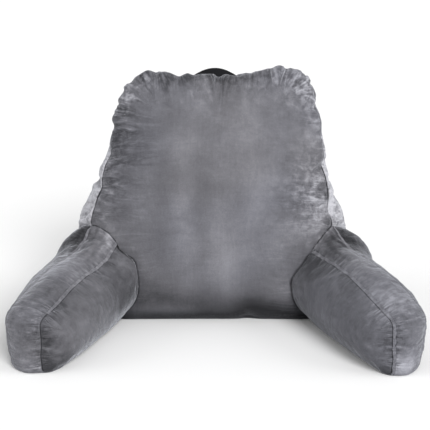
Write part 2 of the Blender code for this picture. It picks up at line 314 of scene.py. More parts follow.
TOP_GATHERS = table(
    GATHER_ROW,
    (-0.19, 0.9, 0.0028, 0.026),
    (-0.1, 0.6, 0.0028, 0.024),
    (0.0, 0.6, 0.0028, 0.022),
    (0.08, 0.35, 0.0018, 0.02),
    (0.13, 0.7, 0.0028, 0.028),
    (0.19, 0.9, 0.0028, 0.03),
)
REAR_GATHERS = table(
    GATHER_ROW,
    (0.0, 0.3, 0.001, 0.03),
    (0.48, 0.6, 0.0016, 0.035),
)
# Along an arm's band seams, from the root out over the end and down to the floor
ARM_GATHERS = table(
    GATHER_ROW,
    (0.0, 0.8, 0.0012, 0.022),
    (0.08, 0.45, 0.0007, 0.018),
    (0.2, 0.3, 0.0005, 0.014),
    (0.26, 0.6, 0.0012, 0.02),
    (0.33, 0.8, 0.0017, 0.022),
    (0.48, 0.6, 0.0008, 0.014),
)
CRUSH_HEIGHT = 0.0016
CRUSH_PITCH = 0.020
PANEL_WAVE = 0.0011
# Pleats fade out before this far from their seam, and cloth with pleats this high counts as fully gathered
PLEATS_END = 0.13
PLEATS_FADE = 0.04
FULL_GATHER = 0.0013
MOST_GATHER = 1.1
# How far out the cloth stands for one step of painted light, with painted shade as far in, and the most steps
PAINTED_SHADING_STEP = 0.0016
MOST_PAINTED_SHADING = 1.2
# The band has pleats of its own
BAND_SEED = 5.0
# How far a seam wanders off its line, and how deep it and an arm's root are drawn in
SEAM_WANDER = 0.0011
SEAM_GROOVE = 0.0017
GROOVE_WIDTH = 0.0026
ARM_GROOVE_SHARE = 0.6
ROOT_GROOVE = 0.0045

# Topstitched strips over the arms' band seams, from the root to the floor
STRIP_ROWS = table(
    "along width height",
    (0.0, 0.004, 0.0007),
    (0.3, 0.0038, 0.0007),
    (0.5, 0.0038, 0.0006),
)
# How far the painted dark line of shade beside a strip is from its seam, and how much painted light lightens
# the strip
STRIP_EDGE = 0.0027
STRIP_PAINTED_LIGHT = 0.4
STRIP_STEP = 0.003
# A reach longer than any seam
FULL_RUN = 1.0
STITCH_PITCH = 0.0042
STITCH_LENGTH = 0.0030
STITCH_WIDTH = 0.0005
STITCH_SIDES = 5
STRIP_PROFILE = ((-1.0, 0.0), (-0.86, 0.75), (-0.5, 1.0), (0.0, 0.86), (0.5, 1.0), (0.86, 0.75), (1.0, 0.0))
STRIP_UNDER = 0.0009
# Each row of stitches lies between this place on the profile and the next
STITCHED_PLACES = (1, 4)

# Where light and shade are painted into the pile's colour, lighter or darker
PAINTED_LIGHT_AND_SHADE_PLACES = table(
    "x y z wide high amount",
    (-0.19, -0.06, 0.08, 0.06, 0.06, -0.5),
    (-0.105, 0.05, 0.26, 0.032, 0.15, -0.9),
    (-0.052, 0.04, 0.26, 0.022, 0.15, 0.4),
    (0.05, 0.04, 0.27, 0.03, 0.12, -0.3),
    (0.15, 0.07, 0.32, 0.06, 0.08, 0.2),
    (0.205, 0.06, 0.215, 0.025, 0.03, 1.6),
    (0.195, 0.06, 0.235, 0.016, 0.02, -0.8),
    (-0.165, 0.09, 0.43, 0.04, 0.03, 1.4),
    (0.165, 0.09, 0.44, 0.04, 0.03, 1.6),
    (0.0, 0.1, 0.455, 0.11, 0.014, -1.3),
    (0.0, 0.0, 0.15, 0.08, 0.05, 0.5),
    (-0.12, 0.02, 0.15, 0.05, 0.06, -0.8),
    (0.125, 0.0, 0.13, 0.03, 0.045, 0.4),
    (-0.15, -0.01, 0.04, 0.04, 0.04, -1.2),
    (-0.02, 0.0, 0.04, 0.1, 0.03, -1.3),
    (0.0, 0.0, 0.002, 0.3, 0.015, -4.5),
    (0.095, 0.0, 0.02, 0.075, 0.026, -3.4),
    (-0.215, -0.02, 0.12, 0.045, 0.05, -0.3),
    (0.205, -0.02, 0.11, 0.05, 0.06, -0.9),
    (0.318, -0.262, 0.016, 0.035, 0.024, 3.2),
    (-0.31, -0.26, 0.016, 0.035, 0.02, 0.9),
    (-0.29, -0.16, 0.11, 0.06, 0.035, -0.8),
    (-0.31, -0.25, 0.065, 0.045, 0.04, -0.7),
    (0.31, -0.26, 0.07, 0.04, 0.035, -0.5),
    (-0.13, -0.04, 0.05, 0.045, 0.032, -1.7),
    (-0.172, -0.02, 0.14, 0.018, 0.022, 1.3),
    (-0.205, -0.09, 0.095, 0.03, 0.025, 0.3),
    (-0.24, -0.17, 0.06, 0.03, 0.03, 0.5),
    (0.165, 0.0, 0.125, 0.035, 0.03, -0.8),
    (-0.256, 0.05, 0.16, 0.032, 0.04, -2.2),
    (0.252, 0.04, 0.155, 0.034, 0.04, -2.2),
    (-0.212, 0.01, 0.172, 0.024, 0.022, 2.0),
    (0.215, 0.01, 0.155, 0.028, 0.025, -1.0),
    (0.14, 0.02, 0.18, 0.045, 0.03, 0.7),
    (0.192, 0.05, 0.19, 0.022, 0.026, 1.2),
    (-0.157, -0.03, 0.1, 0.03, 0.03, -0.9),
    (0.287, -0.19, 0.115, 0.05, 0.03, 0.6),
)

# The camera in front of the pillow, what it looks at, and its lens in pixels of an image this wide
CAMERA_PLACE = (-0.00043, -2.08565, 0.814)
CAMERA_AIM = (-0.00043, 0.02235, 0.2067)
FOCAL_PIXELS = 1190.0
IMAGE_WIDTH = 430.0

# How close to 1 a place in a cushion's grid is when it lies on a side of it, and when it has left the band
SIDE = 0.9999
PANEL = 0.999
DOWN = Vector((0, 0, -1))


def blend(low, high, share):
    return low + (high - low) * share


def clamped(value):
    return min(1.0, max(0.0, value))


def over(value, start, reach):
    """0 up to a start, growing to 1 over a reach; with a reach below 0 it grows downwards."""
    return clamped((value - start) / reach)


def bell(away, width):
    """1 at a place, running smoothly out to nothing about two widths away."""
    return math.exp(-((away / width) ** 2))


def uneven(x, y, z):
    """Smooth unevenness between about -1 and 1, the same in every run."""
    return noise.noise(Vector((x, y, z)))


def read(rows, along, column):
    """A column of a table at a place along it, in proportion between its rows."""
    if along <= rows[0].along:
        return getattr(rows[0], column)
    for near, far in zip(rows, rows[1:]):
        if along <= far.along:
            share = (along - near.along) / (far.along - near.along)
            return blend(getattr(near, column), getattr(far, column), share)
    return getattr(rows[-1], column)


def rounded(u, v, power):
    """Pulls a square's corner in until its outline turns it smoothly; a higher power is a tighter corner."""
    keep = 1.0 - (abs(u) * abs(v)) ** power / (2.0 * power + 1.0)
    return u * keep, v * keep


def fold_depth(folds, x, z):
    """How deep the folds are at a place on a panel: each is deepest at its seam and runs out at its tip."""
    depth = 0.0
    for fold in folds:
        reach_x, reach_z = fold.to_x - fold.from_x, fold.to_z - fold.from_z
        length = math.hypot(reach_x, reach_z)
        part = ((x - fold.from_x) * reach_x + (z - fold.from_z) * reach_z) / length**2
        aside = abs((x - fold.from_x) * reach_z - (z - fold.from_z) * reach_x) / length
        if part < 1.0 and aside < 4.0 * fold.width:
            fade = 1.0 - max(0.0, part)
            depth += fold.depth * fade * bell(aside, fold.width)
    return depth


def backrest_seam(u, v, wide, high):
    """A place on the backrest's panel outline, scaled in width and height."""
    corner = LEFT_CORNER_POWER if u < 0 else RIGHT_CORNER_POWER
    across, up = rounded(u, v, corner if v > 0 else FOOT_CORNER_POWER)
    share_up = (up + 1.0) / 2.0
    column = "left" if u < 0 else "right"
    x = across * read(BACKREST_ROWS, share_up * BACKREST_HEIGHT, column)
    z = share_up * read(TOP_ROWS, x, "height")
    return x * wide, z * high


def rolled(u, v, across):
    """How far a place on the face panel rolls out and back near its top; across is how far it faces aside."""
    out = back = 0.0
    side_top = over(v, *(LEFT_ROLL if u < 0 else RIGHT_ROLL))
    for place, share in ((v, 1.0 - across), (abs(u), across * side_top)):
        part = clamped((place - 1.0 + ROLL_SHARE) / ROLL_SHARE)
        out += share * ROLL_RISE * (math.sin(part * ROLL_TURN) - part) * (1.0 - 3.0 * across * (1.0 - across))
        back += share * ROLL_BACK * (1.0 - math.cos(part * ROLL_TURN)) / (1.0 - math.cos(ROLL_TURN))
    return out, back


def backrest_point(u, v, w):
    """A point of the backrest: u across, v from floor to top, w from face to rear, each -1 to 1."""
    share_back = (w + 1.0) / 2.0
    x, z = backrest_seam(
        u, v, blend(1.0, REAR_SHARE_WIDE, share_back), blend(1.0, REAR_SHARE_HIGH, share_back)
    )
    face_fold = fold_depth(FACE_FOLDS, x, z) * (1.0 - share_back) ** 2 if share_back < 0.9 else 0.0
    rear_fold = fold_depth(REAR_FOLDS, x, z) * share_back**2 if share_back > 0.1 else 0.0
    face_y = z * math.tan(FACE_LEAN) + FOOT_BOW * (1.0 - u * u) * (1.0 - v) / 2.0 + face_fold
    rear_y = FOOT_DEPTH - z * math.tan(REAR_LEAN) - rear_fold
    y = blend(face_y, rear_y, share_back)
    panel = (1.0 - u**4) * (1.0 - v**4) * (1.0 - 0.15 * v)
    outward = Vector((u**5, 0.0, v**5)).normalized() if abs(u) + abs(v) > 0.1 else Vector((0, 0, 0))
    edge = max(abs(u), abs(v)) ** 6
    x -= FOLD_PULL * (face_fold + rear_fold) * edge * outward.x
    z -= FOLD_PULL * (face_fold + rear_fold) * edge * outward.z
    if w <= -1.0:
        y -= FACE_CROWN * panel
    elif w >= 1.0:
        y += REAR_CROWN * panel
    else:
        side = read(BACKREST_ROWS, z, "bulge")
        side *= 1.0 if u < 0 else blend(*RIGHT_BAND_SHARES, over(z, *RIGHT_BAND_TURN))
        side += PUFF_RISE * bell(z - (LEFT_PUFF if u < 0 else RIGHT_PUFF), PUFF_REACH)
        top = read(TOP_ROWS, x, "bulge")
        bulge = blend(side, top, outward.z**2 if v > 0 else 0.0)
        bulge *= (1.0 - w * w) ** 0.8
        x += bulge * outward.x
        z += bulge * outward.z
    if v > 0.0 and w < 0.6:
        out, back = rolled(u, v, outward.x**2)
        near = clamped(1.0 - share_back / 0.5) ** 2
        y += back * near
        x += out * near * outward.x
        z += out * near * outward.z
    return Vector((x, y, max(z, 0.0) if v > -1.0 else 0.0)) + STAND


def on_arm(arm, along, across, z):
    """A point in the arm's own directions, placed in the pillow's frame."""
    sine, cosine = math.sin(arm.splay), math.cos(arm.splay)
    x = arm.root[0] + along * sine + across * cosine
    y = arm.root[1] - along * cosine + across * sine
    return Vector((arm.side * x, y, z)) + STAND


def arm_point(arm, u, v, w):
    """A point of an arm: u from root to front end, v from floor to top, w from inner to outer side."""
    share_out = (w + 1.0) / 2.0
    corner = ARM_TOP_CORNER_POWER if v > 0 else ARM_FOOT_CORNER_POWER
    along_share, up = rounded(u, v, corner) if u > 0 else (u, v)
    share_along = (along_share + 1.0) / 2.0
    inner_along = blend(ARM_INNER_ROOT, arm.inner_front, share_along)
    outer_along = blend(ARM_OUTER_ROOT, arm.outer_front, share_along)
    along = blend(inner_along, outer_along, share_out)
    share_up = (up + 1.0) / 2.0
    inner_top = read(arm.rows, along, "inner_height")
    outer_top = read(arm.rows, along, "outer_height")
    z = share_up * blend(inner_top, outer_top, share_out)
    front = max(0.0, u)
    inner_foot_across = -read(arm.feet, along, "spread")
    inner_across = blend(inner_foot_across, read(arm.rows, along, "inner_across"), share_up)
    outer_crown = read(arm.rows, along, "outer_crown")
    outer_top_across = read(arm.rows, along, "outer_across")
    outer_foot_across = blend(outer_top_across + ARM_SIT_SHARE * outer_crown, arm.outer_foot, front**3)
    outer_across = blend(outer_foot_across, outer_top_across, share_up)
    across = blend(inner_across, outer_across, share_out)
    inner = w <= -1.0
    power = blend(2.1, 3.2 if v > 0 else 2.6, over(u, -0.6, 0.6)) if inner else 3.2
    side = (1.0 - abs(v) ** power) * (1.0 - front ** (9 if inner else 5))
    if inner:
        across -= read(arm.rows, along, "inner_crown") * side - fold_depth(arm.folds, along, z)
    elif w >= 1.0:
        across += outer_crown * (1.0 - ARM_SIT_SHARE / 2.0) * side
    else:
        bulge = ARM_BAND_CROWN * (1.0 - w * w)
        outward = Vector((front**5, 0.0, v**5))
        outward = outward.normalized() if outward.length > 0 else Vector((0, 0, 1))
        along += bulge * outward.x
        z += bulge * outward.z
    return on_arm(arm, along, across, max(z, 0.0) if v > -1.0 else 0.0)


# ---------------------------------------------------------------- cushion meshes

def spaced(cells, ease):
    """Places from -1 to 1, closer together towards the two ends."""
    steps = [2.0 * n / cells - 1.0 for n in range(cells + 1)]
    return [blend(step, math.sin(step * math.pi / 2), ease) for step in steps]


def add_piece(name, mesh, material):
    """Links a mesh as a piece in its material, with its faces turned outwards and smooth."""
    bm = bmesh.new()
    bm.from_mesh(mesh)
    bmesh.ops.recalc_face_normals(bm, faces=bm.faces)
    bm.to_mesh(mesh)
    bm.free()
    mesh.shade_smooth()
    mesh.materials.append(material)
    piece = bpy.data.objects.new(name, mesh)
    bpy.context.scene.collection.objects.link(piece)
    return piece


def joined(name, points, faces, material):
    mesh = bpy.data.meshes.new(name)
    mesh.from_pydata(points, [], faces)
    return add_piece(name, mesh, material)


def keep(mesh, name, values):
    """Keeps a number or a vector at each corner of a mesh."""
    kind, slot = ("FLOAT", "value") if len(values) == len(mesh.vertices) else ("FLOAT_VECTOR", "vector")
    mesh.attributes.new(name, kind, "POINT").data.foreach_set(slot, values)


def band_path(nu, nv, from_floor):
    """The grid places that a band goes over: from the floor or from an arm's root, over the top and down."""
    rise = [(0, n) for n in range(nv)] if from_floor else []
    return rise + [(n, nv) for n in range(nu + 1)] + [(nu, n) for n in range(nv - 1, -1, -1)]


def boxed_cushion(name, cells, eases, place, from_floor, heading=(1.0, 0.0)):
    """A closed cushion of six gridded sides. Each corner of the grid keeps its u, v, w and how far round the
    band it is, and each face its own place on the panel that it belongs to."""
    steps = [spaced(count, ease) for count, ease in zip(cells, eases)]
    corners = {}
    points = []
    boxes = []

    def corner(*key):
        if key not in corners:
            box = tuple(steps[n][key[n]] for n in range(3))
            corners[key] = len(points)
            points.append(place(*box))
            boxes.append(box)
        return corners[key]

    runs = {}
    travelled = 0.0
    before = None
    for key in band_path(*cells[:2], from_floor):
        here = place(steps[0][key[0]], steps[1][key[1]], 0.0)
        travelled += (here - before).length if before is not None else 0.0
        runs[key] = travelled
        before = here
    faces = []
    spots = []
    laid = {}

    def laid_out(axis, key, point):
        """A corner's place in the flat cloth: band, side panels and base are laid beside each other."""
        if axis != 2:
            if key[:2] in runs:
                return runs[key[:2]], 0.08 * steps[2][key[2]] + 2.0
            return point.x + 8.0, point.y
        if key[:2] not in laid:
            laid[key[:2]] = place(steps[0][key[0]], steps[1][key[1]], 0.0)
        flat = laid[key[:2]]
        return flat.x * heading[0] + flat.y * heading[1], flat.z + 4.0 * (key[2] > 0)

    for axis in range(3):
        first, second = (n for n in range(3) if n != axis)
        for end, a, b in product((0, cells[axis]), range(cells[first]), range(cells[second])):
            ring = []
            for step_a, step_b in ((0, 0), (1, 0), (1, 1), (0, 1)):
                key = [0, 0, 0]
                key[axis], key[first], key[second] = end, a + step_a, b + step_b
                ring.append(corner(*key))
                spots.extend(laid_out(axis, tuple(key), points[ring[-1]]))
            faces.append(ring)
    mesh = bpy.data.meshes.new(name)
    mesh.from_pydata(points, [], faces)
    mesh.uv_layers.new(name="panel").data.foreach_set("uv", spots)
    keep(mesh, "box", [c for box in boxes for c in box])
    keep(mesh, "run", [runs.get(key[:2], 0.0) for key in corners])
    return add_piece(name, mesh, velour)


def tree_of(piece):
    bm = bmesh.new()
    bm.from_mesh(piece.data)
    tree = BVHTree.FromBMesh(bm)
    bm.free()
    return tree


def inside(tree, point):
    """Whether a point is inside a closed skin, read from the nearest place on it."""
    spot, normal, _, _ = tree.find_nearest(point)
    return (point - spot).dot(normal) < 0.0


def boxes_of(piece):
    flat = [0.0] * (3 * len(piece.data.vertices))
    piece.data.attributes["box"].data.foreach_get("vector", flat)
    return [tuple(flat[n:n + 3]) for n in range(0, len(flat), 3)]


def runs_of(piece):
    runs = [0.0] * len(piece.data.vertices)
    piece.data.attributes["run"].data.foreach_get("value", runs)
    return runs


def on_seam(box):
    return abs(box[2]) > SIDE and max(abs(box[0]), abs(box[1])) > SIDE


def swell(piece, held, slack, slack_share, caps):
    """Fills a cushion: its cloth swells under pressure between the seams, no point further than its cap."""
    mesh = piece.data
    start = [v.co.copy() for v in mesh.vertices]
    pins = piece.vertex_groups.new(name="held")
    tight = piece.vertex_groups.new(name="taut")
    for n, weight in enumerate(held):
        if weight > 0.0:
            pins.add([n], weight, "REPLACE")
    for n, weight in enumerate(slack):
        tight.add([n], 1.0 - weight, "REPLACE")
    cloth = piece.modifiers.new("filling", "CLOTH")
    for name, value in CLOTH.items():
        setattr(cloth.settings, name, value)
    cloth.settings.effector_weights.gravity = 0
    cloth.settings.shrink_min = -slack_share
    cloth.collision_settings.use_collision = False
    cloth.collision_settings.use_self_collision = False
    cloth.point_cache.frame_start = 1
    cloth.point_cache.frame_end = FRAMES
    scene = bpy.context.scene
    for n in range(1, FRAMES + 1):
        scene.frame_set(n)
    graph = bpy.context.evaluated_depsgraph_get()
    done = piece.evaluated_get(graph).to_mesh()
    ends = [v.co.copy() for v in done.vertices]
    piece.evaluated_get(graph).to_mesh_clear()
    piece.modifiers.remove(cloth)
    furthest = 0.0
    for vert, first, then, most in zip(mesh.vertices, start, ends, caps):
        step = then - first
        furthest = max(furthest, step.length)
        if step.length > most:
            step *= most / step.length
        vert.co = first + step
        vert.co.z = max(0.0, vert.co.z)
    piece.vertex_groups.clear()
    scene.frame_set(1)
    mesh.update()
    print(piece.name, "furthest move", round(furthest * 1000, 1), "mm")


def refine(piece):
    """One subdivision, applied."""
    finer = piece.modifiers.new("finer", "SUBSURF")
    finer.levels = 1
    finer.render_levels = 1
    bpy.ops.object.select_all(action="DESELECT")
    piece.select_set(True)
    bpy.context.view_layer.objects.active = piece
    bpy.ops.object.modifier_apply(modifier=finer.name)
    for vert in piece.data.vertices:
        vert.co.z = max(0.0, vert.co.z)


# ---------------------------------------------------------------- materials

def node(tree, kind, spot, **values):
    """A node whose inputs and settings are given by name: a socket is linked, anything else is set."""
    made = tree.nodes.new(kind)
    made.location = spot
    for name, value in values.items():
        slot = name.replace("_", " ")
        if isinstance(value, bpy.types.NodeSocket):
            tree.links.new(value, made.inputs[slot])
        elif slot in made.inputs:
            made.inputs[slot].default_value = value
        else:
            setattr(made, name, value)
    return made


def maths(tree, operation, spot, *values, clamp=False):
    """The result of a math operation on numbers and sockets."""
    made = node(tree, "ShaderNodeMath", spot, operation=operation, use_clamp=clamp)
    for slot, value in zip(made.inputs, values):
        if isinstance(value, bpy.types.NodeSocket):
            tree.links.new(value, slot)
        else:
            slot.default_value = value
    return made.outputs[0]


def ramp(tree, spot, value, *stops):
    """The colour of a value, from stops that each give a place and a colour."""
    made = node(tree, "ShaderNodeValToRGB", spot, Fac=value)
    elements = made.color_ramp.elements
    for element, (place, colour) in zip(elements, (stops[0], stops[-1])):
        element.position, element.color = place, (*colour, 1.0)
    for place, colour in stops[1:-1]:
        elements.new(place).color = (*colour, 1.0)
    return made.outputs["Color"]


def bumped(tree, spot, height, strength, distance, **values):
    bump = node(tree, "ShaderNodeBump", spot, Strength=strength, Distance=distance, Height=height, **values)
    return bump.outputs["Normal"]


def new_material(name, **values):
    """A material's own shader, its plain values given by name, and the material's nodes."""
    material = bpy.data.materials.new(name)
    material.use_nodes = True
    shader = material.node_tree.nodes["Principled BSDF"]
    for slot, value in values.items():
        shader.inputs[slot.replace("_", " ")].default_value = value
    return material, material.node_tree, shader


# How large each pattern of the velour is, as the scale of its noise
NAP_SCALES = {
    "Patch Size": 10.0,
    "Streak Size": 240.0,
    "Pile Size": 1400.0,
    "Gather Size": 75.0,
    "Crush Size": 95.0,
    "Mottle Size": 85.0,
}
# How near a seam and an arm's root the painted dark line is full, and where it ends: painted shade in the
# seam's groove, a painted shadow round the root
SEAM_SHADE_LINE = (0.0002, 0.0013)
ROOT_SHADOW_LINE = (0.0008, 0.0026)
LINE_SHADE = -0.50
PAINTED_SHADING_SHARE = 0.13


def velour_group():
    """Nap: cloudy patches where the pile lies differently, fine streaks both ways and the pile itself; with
    painted shade and light: the creases painted darker in their hollows and lighter on their crests, painted
    light and shade given per point, and painted dark lines of shade in the seams and of shadow round the
    arms' roots.
    """
    group = bpy.data.node_groups.new("velour_nap", "ShaderNodeTree")
    sockets = (
        ("INPUT", "NodeSocketVector", ("Panel", "Place", "Gather", "Edge")),
        ("INPUT", "NodeSocketFloat", (*NAP_SCALES, "Seam", "Painted_Shading")),
        ("OUTPUT", "NodeSocketFloat", ("Shade", "Warmth", "Height", "Crease")),
    )
    for side, kind, names in sockets:
        for name in names:
            group.interface.new_socket(name, in_out=side, socket_type=kind)
    entry = group.nodes.new("NodeGroupInput").outputs
    leave = group.nodes.new("NodeGroupOutput").inputs

    def cloud(place, size, spot, stretch=None, **values):
        if stretch:
            turned = node(group, "ShaderNodeMapping", (spot[0] - 200, spot[1]), Vector=place, Scale=stretch)
            place = turned.outputs["Vector"]
        texture = node(group, "ShaderNodeTexNoise", spot, Vector=place, Scale=entry[size], **values)
        return texture.outputs["Fac"]

    def add(base, value, share, spot):
        """Adds share times (value - 0.5) to base."""
        moved = maths(group, "SUBTRACT", spot, value, 0.5)
        return maths(group, "MULTIPLY_ADD", (spot[0] + 160, spot[1]), moved, share, base)

    def near(value, line, spot):
        """1 up to a line's first place, then smoothly down to 0 at its last."""
        return node(
            group, "ShaderNodeMapRange", spot, interpolation_type="SMOOTHSTEP", Value=value, From_Min=line[0],
            From_Max=line[1], To_Min=1.0, To_Max=0.0
        ).outputs["Result"]

    panel, place, gather = entry["Panel"], entry["Place"], entry["Gather"]
    patch = cloud(place, "Patch Size", (-600, 300), Detail=4.0, Roughness=0.55, Distortion=0.3)
    warp = cloud(panel, "Streak Size", (-600, 0), (1.0, 0.10, 1.0), Detail=2.0, Roughness=0.6)
    weft = cloud(panel, "Streak Size", (-600, -200), (0.12, 1.0, 1.0), Detail=2.0, Roughness=0.6)
    pile = cloud(place, "Pile Size", (-600, -450), Detail=1.0, Roughness=0.7)
    tint = cloud(place, "Patch Size", (-600, -700), (0.5, 0.5, 0.5), Detail=1.0)
    seamwise = cloud(
        gather, "Gather Size", (-600, -900), (1.0, 0.20, 0.0), Detail=4.0, Roughness=0.6, Distortion=0.5
    )
    crush = cloud(place, "Crush Size", (-600, -1100), Detail=4.0, Roughness=0.62, Distortion=0.8)
    mottle = cloud(place, "Mottle Size", (-600, -1300), Detail=5.0, Roughness=0.62, Distortion=0.6)
    gathered = node(group, "ShaderNodeSeparateXYZ", (-1000, -900), Vector=gather).outputs["Z"]
    edge = node(group, "ShaderNodeSeparateXYZ", (-1000, -1300), Vector=entry["Edge"]).outputs

    steep = maths(group, "ABSOLUTE", (-300, -900), maths(group, "SUBTRACT", (-400, -900), seamwise, 0.5))
    folds = add(maths(group, "MULTIPLY_ADD", (-200, -900), steep, 3.0, 0.22), crush, 0.7, (-100, -900))
    crease = add(0.5, folds, gathered, (200, -900))
    shade = height = 0.5
    # The creases are painted into the colour too: painted shade in their hollows, painted light on their
    # crests.
    parts = (
        (patch, 0.30, None),
        (crease, 0.85, None),
        (mottle, edge["Z"], None),
        (warp, 0.06, 0.25),
        (weft, 0.05, 0.25),
        (pile, 0.32, 0.9),
    )
    for n, (part, shade_share, height_share) in enumerate(parts):
        shade = add(shade, part, shade_share, (300 * n - 300, 300))
        if height_share:
            height = add(height, part, height_share, (300 * n - 300, -300))
    # Painted light and shade given per point lightens or darkens the colour.
    laid = maths(group, "MULTIPLY_ADD", (1500, 300), entry["Painted_Shading"], PAINTED_SHADING_SHARE, shade)
    # Painted shade: a dark line in each seam's groove, and a painted shadow round each arm's root.
    line = near(maths(group, "ABSOLUTE", (-600, -1500), edge["Y"]), SEAM_SHADE_LINE, (-400, -1500))
    root = near(edge["X"], ROOT_SHADOW_LINE, (-400, -1700))
    weighed = maths(group, "MULTIPLY", (-200, -1500), line, entry["Seam"])
    darkest = maths(group, "MAXIMUM", (0, -1500), weighed, root)
    seamed = maths(group, "MULTIPLY_ADD", (1700, 300), darkest, LINE_SHADE, laid, clamp=True)
    for name, value in (("Shade", seamed), ("Warmth", tint), ("Height", height), ("Crease", crease)):
        group.links.new(value, leave[name])
    return group


def velour_material(name, group):
    material, tree, shader = new_material(
        name, Roughness=0.85, Specular_IOR_Level=0.2, Sheen_Weight=0.6, Sheen_Roughness=0.35,
        Sheen_Tint=(0.86, 0.88, 0.95, 1.0)
    )
    panel = node(tree, "ShaderNodeUVMap", (-1200, 200), uv_map="panel").outputs["UV"]
    place = node(tree, "ShaderNodeTexCoord", (-1200, 0)).outputs["Object"]
    nap = node(tree, "ShaderNodeGroup", (-900, 0), node_tree=group, Panel=panel, Place=place)
    attributes = (("Seam", "Fac"), ("Painted_Shading", "Fac"), ("Gather", "Vector"), ("Edge", "Vector"))
    for n, (slot, output) in enumerate(attributes):
        kept = node(tree, "ShaderNodeAttribute", (-1200, -300 - 200 * n), attribute_name=slot.lower())
        tree.links.new(kept.outputs[output], nap.inputs[slot])
    for slot, scale in NAP_SCALES.items():
        nap.inputs[slot].default_value = scale
    shade = ramp(
        tree, (-600, 100), nap.outputs["Shade"],
        (0.0, (0.010, 0.010, 0.012)),
        (0.25, (0.048, 0.048, 0.054)),
        (0.50, (0.134, 0.133, 0.148)),
        (1.0, (0.50, 0.50, 0.54)),
    )
    warm = ramp(
        tree, (-600, -200), nap.outputs["Warmth"],
        (0.38, (1.0, 0.995, 0.985)),
        (0.62, (0.965, 0.975, 1.0)),
    )
    both = node(tree, "ShaderNodeMix", (-300, 0), data_type="RGBA", blend_type="MULTIPLY", Factor=1.0)
    tree.links.new(shade, both.inputs[6])
    tree.links.new(warm, both.inputs[7])
    tree.links.new(both.outputs[2], shader.inputs["Base Color"])
    creases = bumped(tree, (-500, -500), nap.outputs["Crease"], 1.0, 0.0036)
    pile = bumped(tree, (-300, -300), nap.outputs["Height"], 0.5, 0.0010, Normal=creases)
    tree.links.new(pile, shader.inputs["Normal"])
    return material


def thread_material(name, colour):
    material, tree, shader = new_material(name, Roughness=0.6)
    where = node(tree, "ShaderNodeTexCoord", (-900, 0)).outputs["Object"]
    twist = node(tree, "ShaderNodeTexNoise", (-600, 0), Vector=where, Scale=900.0, Detail=1.0).outputs["Fac"]
    dark, light = (tuple(share * c for c in colour) for share in (0.6, 1.4))
    tree.links.new(ramp(tree, (-300, 0), twist, (0.0, dark), (1.0, light)), shader.inputs["Base Color"])
    return material


def webbing_material(name):
    material, tree, shader = new_material(name, Roughness=0.75, Specular_IOR_Level=0.15)
    where = node(tree, "ShaderNodeUVMap", (-1200, 200), uv_map="panel").outputs["UV"]
    ribs, threads = (
        node(
            tree, "ShaderNodeTexWave", (-900, height), wave_type="BANDS", bands_direction=direction,
            Vector=where, Scale=scale
        ).outputs["Fac"]
        for height, direction, scale in ((100, "Y", 160.0), (-200, "X", 150.0))
    )
    weave = maths(tree, "MULTIPLY_ADD", (-600, 0), threads, 0.4, ribs)
    colour = ramp(tree, (-300, 200), weave, (0.0, (0.002, 0.002, 0.003)), (1.0, (0.010, 0.010, 0.012)))
    tree.links.new(colour, shader.inputs["Base Color"])
    tree.links.new(bumped(tree, (-300, -200), weave, 0.6, 0.0006), shader.inputs["Normal"])
    return material


# ---------------------------------------------------------------- seams, gathers and strips

def kd_of(points):
    tree = KDTree(len(points))
    for n, point in enumerate(points):
        tree.insert(point, n)
    tree.balance()
    return tree


class SeamGuide:
    """A seam line of a cushion: how far a place is from it, how far along it, the gathers there, and how
    clearly one stretch of the seam is the nearest."""

    def __init__(self, line):
        self.line = line
        self.tree = kd_of([entry[0] for entry in line])

    def find(self, place):
        found = self.tree.find_n(place, 20)
        away, b = found[0][2], found[0][1]
        point = self.line[b][0]
        for other in (b - 1, b + 1):
            if 0 <= other < len(self.line):
                span = self.line[other][0] - point
                share = clamped((place - point).dot(span) / max(1e-12, span.length_squared))
                away = min(away, (place - point - span * share).length)
        weights = [math.exp((found[0][2] - gap) / 0.002) for _, _, gap in found]
        total = sum(weights)
        runs = [self.line[n][1] for _, n, _ in found]
        run = sum(weight * there for weight, there in zip(weights, runs)) / total
        spread = sum(weight * (there - run) ** 2 for weight, there in zip(weights, runs)) / total
        calm = over(math.sqrt(spread) / (away + 0.004), 0.85, -0.3)
        return away, run, self.line[b][2], calm


def seam_line(piece, rows_at, side):
    """A seam of the band as places in order, each with its run and its gathers."""
    line = [
        (vert.co.copy(), run, rows_at(box, vert.co, run))
        for vert, box, run in zip(piece.data.vertices, boxes_of(piece), runs_of(piece))
        if abs(box[2] - side) < 1e-4 and on_seam(box) and run > 0.0
    ]
    line.sort(key=lambda entry: entry[1])
    return line


def pleat_fade(along, away, row, seed):
    """How strong the pleats are at a place: they start at the seam and run out at uneven lengths."""
    length = row["reach"] * (0.75 + 0.9 * uneven(along / 0.021, seed, 3.0))
    return (1.0 - math.exp(-away / 0.003)) * math.exp(-away / max(0.006, length))


def pleats(along, away, row, seed):
    """The pleats that run off a gathered seam: rounded crests with sharp valleys between them."""
    bent = along + 0.004 * uneven(along / 0.03, away / 0.03, seed)
    crest = abs(uneven(bent / PLEAT_PITCH, away / 0.045, seed)) * 2.4 - 0.55
    small = uneven(bent / (0.45 * PLEAT_PITCH), away / 0.030, seed + 9.0)
    return row["height"] * (crest + 0.3 * small)


def gather_row(rows, along):
    return {name: read(rows, along, name) for name in ("height", "reach")}


def backrest_rows(box, place, run):
    """The gathers that belong to a place on a seam of the backrest."""
    u, v, w = box
    if w > 0:
        return gather_row(REAR_GATHERS, place.z)
    if v > PANEL and abs(u) < 0.97:
        return gather_row(TOP_GATHERS, place.x - STAND.x)
    return gather_row(LEFT_GATHERS if u < 0 else RIGHT_GATHERS, place.z)


def arm_rows(box, place, run):
    return gather_row(ARM_GATHERS, run)


